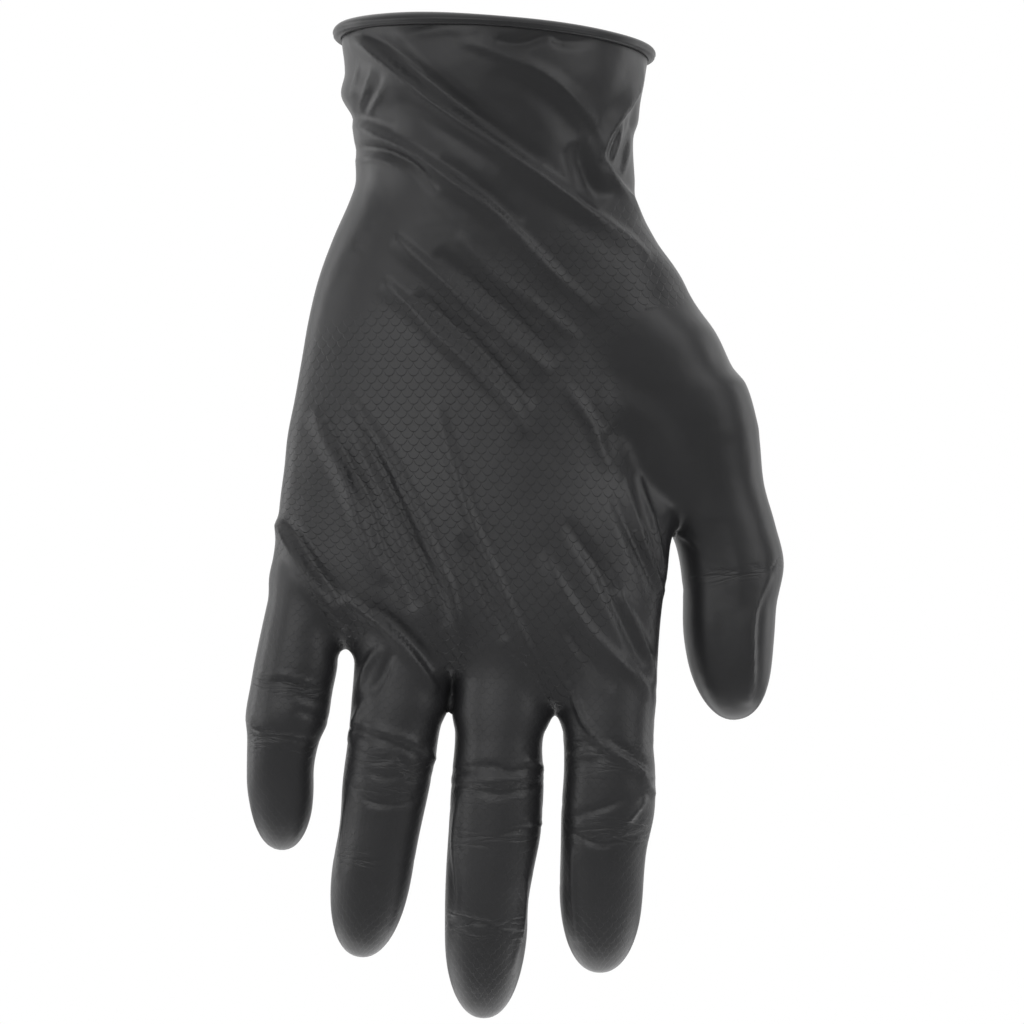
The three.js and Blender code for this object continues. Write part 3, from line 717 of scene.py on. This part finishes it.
def fold_rise(points, normals):
    """How far the folds lift the film: each has a crest that falls away to either side by a cosine, or
    to a sharper top where its crest is above 0, and it fades in and out along its route. Only the film
    that faces the fold's side is lifted."""
    x, down = points[:, 0], -points[:, 2]
    rise = np.zeros(len(points))
    for face, folds in ((-1, BACK_FOLDS), (1, PALM_FOLDS)):
        for height, left, right, crest, pixels in folds:
            route = curved_route(pixels, 24)
            reach = max(left, right)
            low, high = route.min(axis=0) - reach, route.max(axis=0) + reach
            near = (x > low[0]) & (x < high[0]) & (down > low[1]) & (down < high[1])
            facing = np.clip(normals[:, 1] * face * 1.3 + 0.4, 0, 1)
            near &= facing > 0
            gap, share = route_distance(x[near], down[near], route)
            q = np.clip(np.abs(gap) / np.where(gap > 0, left, right), 0, 1)
            round_top = 0.5 + 0.5 * np.cos(np.pi * q)
            sharp_top = (1 - q) ** 2
            profile = round_top * (1 - crest) + sharp_top * crest
            fade = np.sin(np.pi * share) ** 0.5
            rise[near] += height * profile * fade * facing[near]
    return rise


def body_arc_table():
    """Arc length round each section of the cuff and hand from the middle of the back, positive towards
    the thumb: the running sum of the steps between points of the section, less its value at the middle
    of the back."""
    down = np.linspace(0, BODY_END, 60)
    turn = np.linspace(-np.pi, np.pi, 361)
    back, across = superellipse(turn[None, :], body_at("square", down[:, None]))
    x, y = body_ring(down[:, None], across, back)
    step = np.hypot(np.diff(x, axis=1), np.diff(y, axis=1))
    arc = np.concatenate([np.zeros((len(down), 1)), np.cumsum(step, axis=1)], axis=1)
    return down, turn, arc - arc[:, 180:181]


def grip_map(points):
    """Where each point of the hand lies in the grip pattern, in millimetres: the length of film round the
    section from the middle of the back, read from the table of arcs, and the distance down the glove."""
    down, x, deep = body_place(points)
    power = body_at("square", down)
    u, v = np.abs(x) / body_half(down, x), np.abs(deep) / body_thick(down, deep)
    turn = np.arctan2(np.sign(x) * u ** (power / 2), -np.sign(deep) * v ** (power / 2))
    rows, columns, arc = body_arc_table()
    r = np.clip(down / rows[-1], 0, 1) * (len(rows) - 1)
    c = (turn - columns[0]) / (columns[-1] - columns[0]) * (len(columns) - 1)
    r0 = np.clip(r.astype(int), 0, len(rows) - 2)
    c0 = np.clip(c.astype(int), 0, len(columns) - 2)
    fr, fc = r - r0, c - c0
    around = (
        arc[r0, c0] * (1 - fr) * (1 - fc)
        + arc[r0 + 1, c0] * fr * (1 - fc)
        + arc[r0, c0 + 1] * (1 - fr) * fc
        + arc[r0 + 1, c0 + 1] * fr * fc
    )
    return around, down


def grip_coordinates(points):
    """Where each point lies in the grip pattern of its own part, the hand or a stall, which part that
    is, how far off the pattern's next seam is, and how close the point is to a finger joint.

    A seam is the next part, or the line down the palm where the pattern closes. Closeness to the joints
    is a sum of bells along a stall, 1 at a joint and 0 on the hand."""
    around, along = grip_map(points)
    part = np.zeros(len(points), dtype=int)
    joints = np.zeros(len(points))
    best = body_distance(points)
    margin = np.full(len(points), 9.0)
    for index, (name, stall) in enumerate(STALL_FRAMES.items(), start=1):
        distance = stall_distance(points, stall)
        closer = distance < best
        margin = np.where(closer, best - distance, np.minimum(margin, distance - best))
        best = np.where(closer, distance, best)
        place, across, deep = stall_place(points, stall)
        half = stall_at(stall, "half", place)
        thick = stall_at(stall, "thick", place)
        turn = np.arctan2(across / half, -deep / thick)
        around = np.where(closer, turn * (half + thick) / 2 * FINER + 200 * index, around)
        along = np.where(closer, (place - stall["web"][2]) * FINER, along)
        part = np.where(closer, index, part)
        share = place / stall["length"]
        bells = sum(np.exp(-(((share - joint) / spread) ** 2)) for joint, spread in JOINTS[name])
        joints = np.where(closer, bells, joints)
    x, deep = body_place(points)[1:]
    margin = np.where((part == 0) & (deep > 0), np.minimum(margin, np.abs(x)), margin)
    return around, along, part, margin, np.clip(joints, 0, 1)


def grip_strength(down, x, part, margin):
    """How strongly the grip pattern shows: it begins along a slanting line below the wrist, fades at
    its seams, is fainter on the finger stalls and leaves out the thumb and its ball."""
    begins = np.clip((down - GRIP_START + GRIP_START_SLANT * x) / GRIP_START_FADE, 0, 1)
    seam = np.clip(margin - 0.1, 0, 1)
    thumb = part == list(STALL_FRAMES).index("thumb") + 1
    line = THUMB_LINE - THUMB_LINE_SLANT * (x - THUMB_LINE_X)
    above_thumb = np.clip((line - down) / THUMB_LINE_FADE, 0, 1)
    side = THUMB_SIDE + THUMB_SIDE_SWAY * np.sin((down - 60) / 30)
    beside_thumb = np.clip((side - x) / THUMB_SIDE_FADE, 0, 1)
    near_thumb = np.where(down < WEB_OF_THUMB, np.maximum(above_thumb, beside_thumb), 1)
    strength = begins * seam * np.where(thumb, 0, near_thumb)
    return np.where((part > 0) & ~thumb, strength * STALL_GRIP, strength)


def outer_skin():
    """Points, faces and normals of the glove's closed form: the tubes remeshed together as one skin of
    even squares, whose points are drawn onto the rounded form and evened out in turn."""
    parts = [body_tube()] + [stall_tube(stall) for stall in STALL_FRAMES.values()]
    vertices, faces, offset = [], [], 0
    for part_vertices, part_faces in parts:
        vertices.append(part_vertices)
        faces += [[index + offset for index in face] for face in part_faces]
        offset += len(part_vertices)
    mesh = modified(
        "rough_film", np.concatenate(vertices), faces, "REMESH", mode="VOXEL", voxel_size=VOXEL * MM
    )
    edges = read(mesh.edges, "vertices", 2, int)
    points = read(mesh.vertices, "co", 3) / MM
    for _ in range(3):
        points = evened(onto_glove(points), edges, 0.5)
    points = onto_glove(points)
    mesh.vertices.foreach_set("co", (points * MM).ravel())
    mesh.update()
    corners = read(mesh.loops, "vertex_index", 4, int)
    normals = read(mesh.vertices, "normal", 3)
    bpy.data.meshes.remove(mesh)
    return points, corners, normals


def inner_skin(points, faces):
    """Points and triangles of a coarser skin that lies a wall's thickness inside the first one."""
    mesh = modified(
        "rough_inner", points, faces.tolist(), "DECIMATE", ratio=INNER_SHARE, use_collapse_triangulate=True
    )
    corners = read(mesh.loops, "vertex_index", 3, int)
    moved = read(mesh.vertices, "co", 3) / MM - read(mesh.vertices, "normal", 3) * WALL
    bpy.data.meshes.remove(mesh)
    return moved, corners


def film_piece():
    """The glove's film: an outer skin and a coarser inner one, a wall apart, cut along the sloping rim
    and joined to each other there, under the bead. The grip pattern and the joint wrinkles are on the
    outer skin."""
    points, faces, normals = outer_skin()
    around, along, part, margin, joints = grip_coordinates(points)
    held = np.clip((rim_height(points[:, 0], points[:, 1]) - points[:, 2]) / 5.0, 0, 1)
    outer = points + normals * (fold_rise(points, normals) * held)[:, None]
    inner, inner_faces = inner_skin(outer, faces)
    both = np.concatenate([outer, inner])
    film = mesh_object("film", both, faces.tolist() + (inner_faces[:, ::-1] + len(outer)).tolist())
    mesh = film.data

    grip = np.stack([around, along], axis=-1)[faces.ravel()]
    unseen = np.zeros((inner_faces.size, 2))
    uv = mesh.uv_layers.new(name="grip")
    uv.data.foreach_set("uv", np.concatenate([grip, unseen]).ravel())
    strength = grip_strength(-outer[:, 2], outer[:, 0], part, margin)
    for name, values in (("joint_amount", joints), ("grip_amount", strength)):
        amount = np.concatenate([values, np.zeros(len(inner))]).astype(np.float32)
        mesh.attributes.new(name, "FLOAT", "POINT").data.foreach_set("value", amount)

    cut = bmesh.new()
    cut.from_mesh(mesh)
    everything = cut.verts[:] + cut.edges[:] + cut.faces[:]
    bmesh.ops.bisect_plane(cut, geom=everything, plane_co=(0, 0, 0), plane_no=RIM_NORMAL, clear_outer=True)
    bmesh.ops.bridge_loops(cut, edges=[edge for edge in cut.edges if edge.is_boundary])
    bmesh.ops.triangulate(cut, faces=[face for face in cut.faces if len(face.verts) > 4])
    cut.to_mesh(mesh)
    cut.free()
    shade_smooth(mesh)
    return film


def bead_piece():
    """The rolled bead: a circle carried round the rim, a little thicker and thinner as it goes, with
    the fine groove where the roll ends on its outer side."""
    rim_count, sides = 240, 32
    angle = turns(rim_count)
    across, back = superellipse(angle, 2.0)
    at_rim = np.zeros(1)
    half = body_half(at_rim, across)
    thick = body_thick(at_rim, -back)
    swell = 0.96 - 0.12 * np.cos(angle) + 0.05 * np.sin(3 * angle + 0.6) + 0.03 * np.sin(7 * angle)
    radius = BEAD_DIAMETER / 2 * swell
    out = np.stack([across / half, -back / thick, 0 * angle], axis=-1)
    out /= np.linalg.norm(out, axis=1)[:, None]
    x = across * half + out[:, 0] * 0.4
    y = -back * thick + out[:, 1] * 0.4
    centre = np.stack([x, y, rim_height(x, y)], axis=-1)
    up = np.array(RIM_NORMAL)
    up /= np.linalg.norm(up)
    turn = turns(sides)
    groove_turn = -0.35 + 0.15 * np.sin(2 * angle + 0.4)
    off_groove = np.angle(np.exp(1j * (turn[None, :] - groove_turn[:, None])))
    reach = radius[:, None] * (1 - 0.1 * np.exp(-((off_groove / 0.2) ** 2)))
    ring = (
        centre[:, None, :]
        + (reach * np.cos(turn))[..., None] * out[:, None, :]
        + (reach * np.sin(turn))[..., None] * up
    )
    i = np.arange(rim_count)[:, None]
    j = np.arange(sides)[None, :]
    near, far = i * sides, (i + 1) % rim_count * sides
    beside = (j + 1) % sides
    faces = np.stack([near + j, near + beside, far + beside, far + j], axis=-1).reshape(-1, 4)
    bead = mesh_object("cuff_bead", ring.reshape(-1, 3), faces.tolist())
    shade_smooth(bead.data)
    outward = bmesh.new()
    outward.from_mesh(bead.data)
    bmesh.ops.recalc_face_normals(outward, faces=outward.faces[:])
    outward.to_mesh(bead.data)
    outward.free()
    return bead


def node(tree, kind, inputs=None, **settings):
    """A new node with its settings. Each input named is given a value, or is linked to another node's
    output."""
    made = tree.nodes.new(kind)
    for name, value in settings.items():
        setattr(made, name, value)
    for name, value in (inputs or {}).items():
        if isinstance(value, bpy.types.NodeSocket):
            tree.links.new(value, made.inputs[name])
        else:
            made.inputs[name].default_value = value
    return made


def math_node(tree, operation, *values, **settings):
    """The output of a Math node whose inputs are numbers or other nodes' outputs."""
    return node(tree, "ShaderNodeMath", dict(enumerate(values)), operation=operation, **settings).outputs[0]


def new_group(name, inputs, outputs):
    """A shader node group whose sockets are numbers, and the sockets that bring its inputs in."""
    group = bpy.data.node_groups.new(name, "ShaderNodeTree")
    for way, sockets in (("INPUT", inputs), ("OUTPUT", outputs)):
        for socket in sockets:
            group.interface.new_socket(socket, in_out=way, socket_type="NodeSocketFloat")
    return group, node(group, "NodeGroupInput").outputs


def grip_group():
    """Fish-scale relief: rows of scalloped scales, each row half a scale along from the last and
    lapping it.

    A scale's height grows from its covered top to its free lower edge, where it steps down to the
    next."""
    group, given = new_group(
        "fish scale relief", ("Around", "Along", "Scale Width", "Row Height"), ("Height",)
    )
    calc = partial(math_node, group)
    reach = 1.25
    edge_softness = 0.12
    rows = calc("DIVIDE", given["Along"], given["Row Height"])
    row = calc("FLOOR", rows)
    below = calc("SUBTRACT", rows, row)
    place = calc("DIVIDE", given["Around"], given["Scale Width"])
    odd = calc("MULTIPLY", calc("FLOORED_MODULO", row, 2.0), 0.5)

    def scallop(shift):
        """How far down its row a scale's free edge reaches at this place round the film."""
        offset = calc("SUBTRACT", calc("FRACT", calc("ADD", calc("ADD", place, odd), shift)), 0.5)
        wide = calc("MULTIPLY", offset, 2.0)
        circle = calc("SUBTRACT", 1.0, calc("MULTIPLY", wide, wide))
        return calc("MULTIPLY", calc("SQRT", circle), reach)

    def covered(edge, depth):
        """1 where the place is above a scale's free edge, with a narrow soft step."""
        gap = calc("DIVIDE", calc("SUBTRACT", edge, depth), edge_softness)
        return calc("ADD", gap, 0.5, use_clamp=True)

    def mixed(share, low, high):
        """A share of the way from low to high."""
        return calc("ADD", low, calc("MULTIPLY", share, calc("SUBTRACT", high, low)))

    upper_depth = calc("ADD", below, 1.0)
    in_upper = covered(scallop(0.5), upper_depth)
    in_own = covered(scallop(0.0), below)
    own = calc("DIVIDE", below, reach)
    upper = calc("DIVIDE", upper_depth, reach)
    lower = calc("DIVIDE", calc("SUBTRACT", below, 1.0), reach)
    node(group, "NodeGroupOutput", {"Height": mixed(in_upper, mixed(in_own, lower, own), upper)})
    return group


def wrinkle_group():
    """Fine wrinkles that run across a stall: creases where a noise, drawn out round the stall, crosses
    its mean.

    The height is 1 - |2n - 1| to the power 6, from a noise n whose place is a little distorted."""
    group, given = new_group("joint wrinkles", ("Around", "Along"), ("Height",))
    calc = partial(math_node, group)
    place = node(
        group,
        "ShaderNodeCombineXYZ",
        {"X": calc("MULTIPLY", given["Around"], 0.07), "Y": calc("MULTIPLY", given["Along"], 0.24)},
    )
    settings = {"Vector": place.outputs["Vector"], "Scale": 1, "Detail": 3, "Distortion": 0.6}
    noise = node(group, "ShaderNodeTexNoise", settings).outputs["Fac"]
    centred = calc("SUBTRACT", calc("MULTIPLY", noise, 2.0), 1.0)
    near = calc("SUBTRACT", 1.0, calc("ABSOLUTE", centred))
    node(group, "NodeGroupOutput", {"Height": calc("POWER", near, 6.0)})
    return group


def film_grain_group():
    """The film's own fine unevenness: a slow swell and a fine grain, as one height, and a slow mottle."""
    group, given = new_group("film grain", ("Swell", "Grain"), ("Height", "Mottle"))
    calc = partial(math_node, group)
    place = node(group, "ShaderNodeTexCoord").outputs["Object"]

    def noise(scale, detail):
        """A noise over the piece, at a scale in shares of a metre."""
        return node(
            group, "ShaderNodeTexNoise", {"Vector": place, "Scale": scale, "Detail": detail}
        ).outputs["Fac"]

    slow = calc("MULTIPLY", noise(120, 2), given["Swell"])
    fine = calc("MULTIPLY", noise(2600, 3), given["Grain"])
    node(group, "NodeGroupOutput", {"Height": calc("ADD", slow, fine), "Mottle": noise(45, 5)})
    return group


def nitrile(name, grain_group, scale_group=None, crease_group=None):
    """Black nitrile: a dark satin film with a fine grain, and the relief of the grip and of the joints'
    wrinkles where the piece carries it."""
    material = bpy.data.materials.new(name)
    material.use_nodes = True
    tree = material.node_tree
    calc = partial(math_node, tree)
    shader = tree.nodes["Principled BSDF"]
    shader.inputs["IOR"].default_value = 1.5
    heights = {"Swell": SWELL_HEIGHT, "Grain": GRAIN_HEIGHT}
    grain = node(tree, "ShaderNodeGroup", heights, node_tree=grain_group).outputs
    colour = node(tree, "ShaderNodeValToRGB", {"Fac": grain["Mottle"]})
    dark, light = colour.color_ramp.elements
    dark.position, dark.color = 0.3, (0.011, 0.011, 0.012, 1)
    light.position, light.color = 0.7, (0.015, 0.015, 0.0162, 1)
    tree.links.new(colour.outputs["Color"], shader.inputs["Base Color"])
    rough = node(tree, "ShaderNodeMapRange", {"Value": grain["Mottle"], "To Min": 0.38, "To Max": 0.5})
    tree.links.new(rough.outputs["Result"], shader.inputs["Roughness"])
    height = grain["Height"]
    if scale_group:
        uv = node(tree, "ShaderNodeUVMap", uv_map="grip").outputs["UV"]
        split = node(tree, "ShaderNodeSeparateXYZ", {0: uv}).outputs
        places = {"Around": split["X"], "Along": split["Y"]}
        scales = {**places, "Scale Width": SCALE_WIDTH, "Row Height": SCALE_ROW}
        for relief_group, inputs, amount_name, most in (
            (scale_group, scales, "grip_amount", GRIP_HEIGHT),
            (crease_group, places, "joint_amount", WRINKLE_HEIGHT),
        ):
            relief = node(tree, "ShaderNodeGroup", inputs, node_tree=relief_group).outputs["Height"]
            amount = node(tree, "ShaderNodeAttribute", attribute_name=amount_name).outputs["Fac"]
            height = calc("ADD", height, calc("MULTIPLY", calc("MULTIPLY", relief, amount), most))
    bump = node(tree, "ShaderNodeBump", {"Strength": 1, "Distance": 1, "Height": height})
    tree.links.new(bump.outputs["Normal"], shader.inputs["Normal"])
    return material


def floor_piece():
    """A plain pale floor well below the fingertips: darker in the light that it throws on the glove
    than where the camera sees it."""
    half_size, height = 620.0, -330.0
    corners = np.array([(-1, -1, 0), (1, -1, 0), (1, 1, 0), (-1, 1, 0)]) * half_size
    corners[:, 2] = height
    floor = mesh_object("floor", corners, [[0, 1, 2, 3]])
    material = bpy.data.materials.new("pale floor")
    material.use_nodes = True
    tree = material.node_tree
    shader = tree.nodes["Principled BSDF"]
    shader.inputs["Roughness"].default_value = 0.9
    shader.inputs["Specular IOR Level"].default_value = 0.2
    shader.inputs["Emission Color"].default_value = (1, 1, 1, 1)
    seen = node(tree, "ShaderNodeLightPath").outputs["Is Camera Ray"]
    glow = math_node(tree, "MULTIPLY", seen, 0.45)
    tree.links.new(glow, shader.inputs["Emission Strength"])
    tone = node(tree, "ShaderNodeMapRange", {"Value": seen, "To Min": 0.3, "To Max": 0.93})
    tree.links.new(tone.outputs["Result"], shader.inputs["Base Color"])
    floor.data.materials.append(material)


def studio_world():
    """A white studio: brightest behind and above the glove, and dimmer on the side that the camera is
    on."""
    world = bpy.data.worlds.new("studio")
    world.use_nodes = True
    bpy.context.scene.world = world
    tree = world.node_tree
    tree.nodes.clear()
    white = (1, 1, 1, 1)
    place = node(tree, "ShaderNodeTexCoord").outputs["Generated"]
    split = node(tree, "ShaderNodeSeparateXYZ", {0: place}).outputs

    def ramp(side, start, end):
        """A glow that grows towards one side of the world."""
        values = {"Value": side, "From Min": start, "From Max": end, "To Min": 0.0, "To Max": 1.2}
        return node(tree, "ShaderNodeMapRange", values, interpolation_type="SMOOTHSTEP").outputs["Result"]

    strength = math_node(tree, "ADD", ramp(split["Y"], -0.2, 0.85), ramp(split["Z"], 0.2, 1.0))
    light = node(tree, "ShaderNodeBackground", {"Color": white, "Strength": strength})
    backdrop = node(tree, "ShaderNodeBackground", {"Color": white})
    seen = node(tree, "ShaderNodeLightPath").outputs["Is Camera Ray"]
    shaders = {"Fac": seen, 1: light.outputs[0], 2: backdrop.outputs[0]}
    mixed = node(tree, "ShaderNodeMixShader", shaders)
    node(tree, "ShaderNodeOutputWorld", {"Surface": mixed.outputs[0]})


def soft_light(name, place, aim, size, power):
    """A square soft light at a place, turned to face its aim, in metres and watts."""
    data = bpy.data.lights.new(name, "AREA")
    data.shape = "RECTANGLE"
    data.size, data.size_y = size
    data.energy = power
    lamp = bpy.data.objects.new(name, data)
    bpy.context.scene.collection.objects.link(lamp)
    lamp.location = place
    lamp.rotation_euler = (Vector(aim) - Vector(place)).to_track_quat("-Z", "Y").to_euler()


def photo_camera():
    """The camera level with the middle of the photograph, a metre in front of the back of the hand."""
    distance = CAMERA_DISTANCE * MM
    data = bpy.data.cameras.new("camera")
    data.sensor_width = 36.0
    data.lens = data.sensor_width * distance / (2 * PHOTO_CENTRE[0] * PHOTO_MM * MM)
    data.clip_start = 0.01
    camera = bpy.data.objects.new("camera", data)
    bpy.context.scene.collection.objects.link(camera)
    x = (PHOTO_CENTRE[0] - PHOTO_ORIGIN[0]) * PHOTO_MM * MM
    z = -(PHOTO_CENTRE[1] - PHOTO_ORIGIN[1]) * PHOTO_MM * MM
    camera.location = (x, -distance, z)
    camera.rotation_euler = (math.pi / 2, 0, 0)
    bpy.context.scene.camera = camera


scene = bpy.context.scene
scene.view_settings.view_transform = "Standard"
scene.view_settings.look = "None"

grain_group = film_grain_group()
film = film_piece()
film.data.materials.append(nitrile("black nitrile film", grain_group, grip_group(), wrinkle_group()))
bead = bead_piece()
bead.data.materials.append(nitrile("black nitrile bead", grain_group))
for piece in (film, bead):
    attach(piece, "root")
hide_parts("glove_film")

floor_piece()
studio_world()
MIDDLE_OF_HAND = (0, 0, -0.11)
soft_light("left light", (-1.0, -0.4, -0.25), MIDDLE_OF_HAND, (0.5, 0.9), 4)
soft_light("front light", (-0.45, -1.3, 0.1), MIDDLE_OF_HAND, (1.0, 0.8), 6.2)
soft_light("right light", (0.9, -0.75, 0.15), MIDDLE_OF_HAND, (0.5, 0.9), 3.8)
soft_light("front right light", (0.5, -1.15, 0.15), MIDDLE_OF_HAND, (0.5, 0.7), 1)
soft_light("low light", (0, 0.05, -0.32), (0, 0.02, -0.1), (0.5, 0.3), 1.0)
soft_light("left back light", (-1.1, 0.3, 0.0), MIDDLE_OF_HAND, (0.4, 0.9), 3.8)
soft_light("right back light", (1.1, 0.3, -0.1), MIDDLE_OF_HAND, (0.4, 0.9), 2.7)
photo_camera()
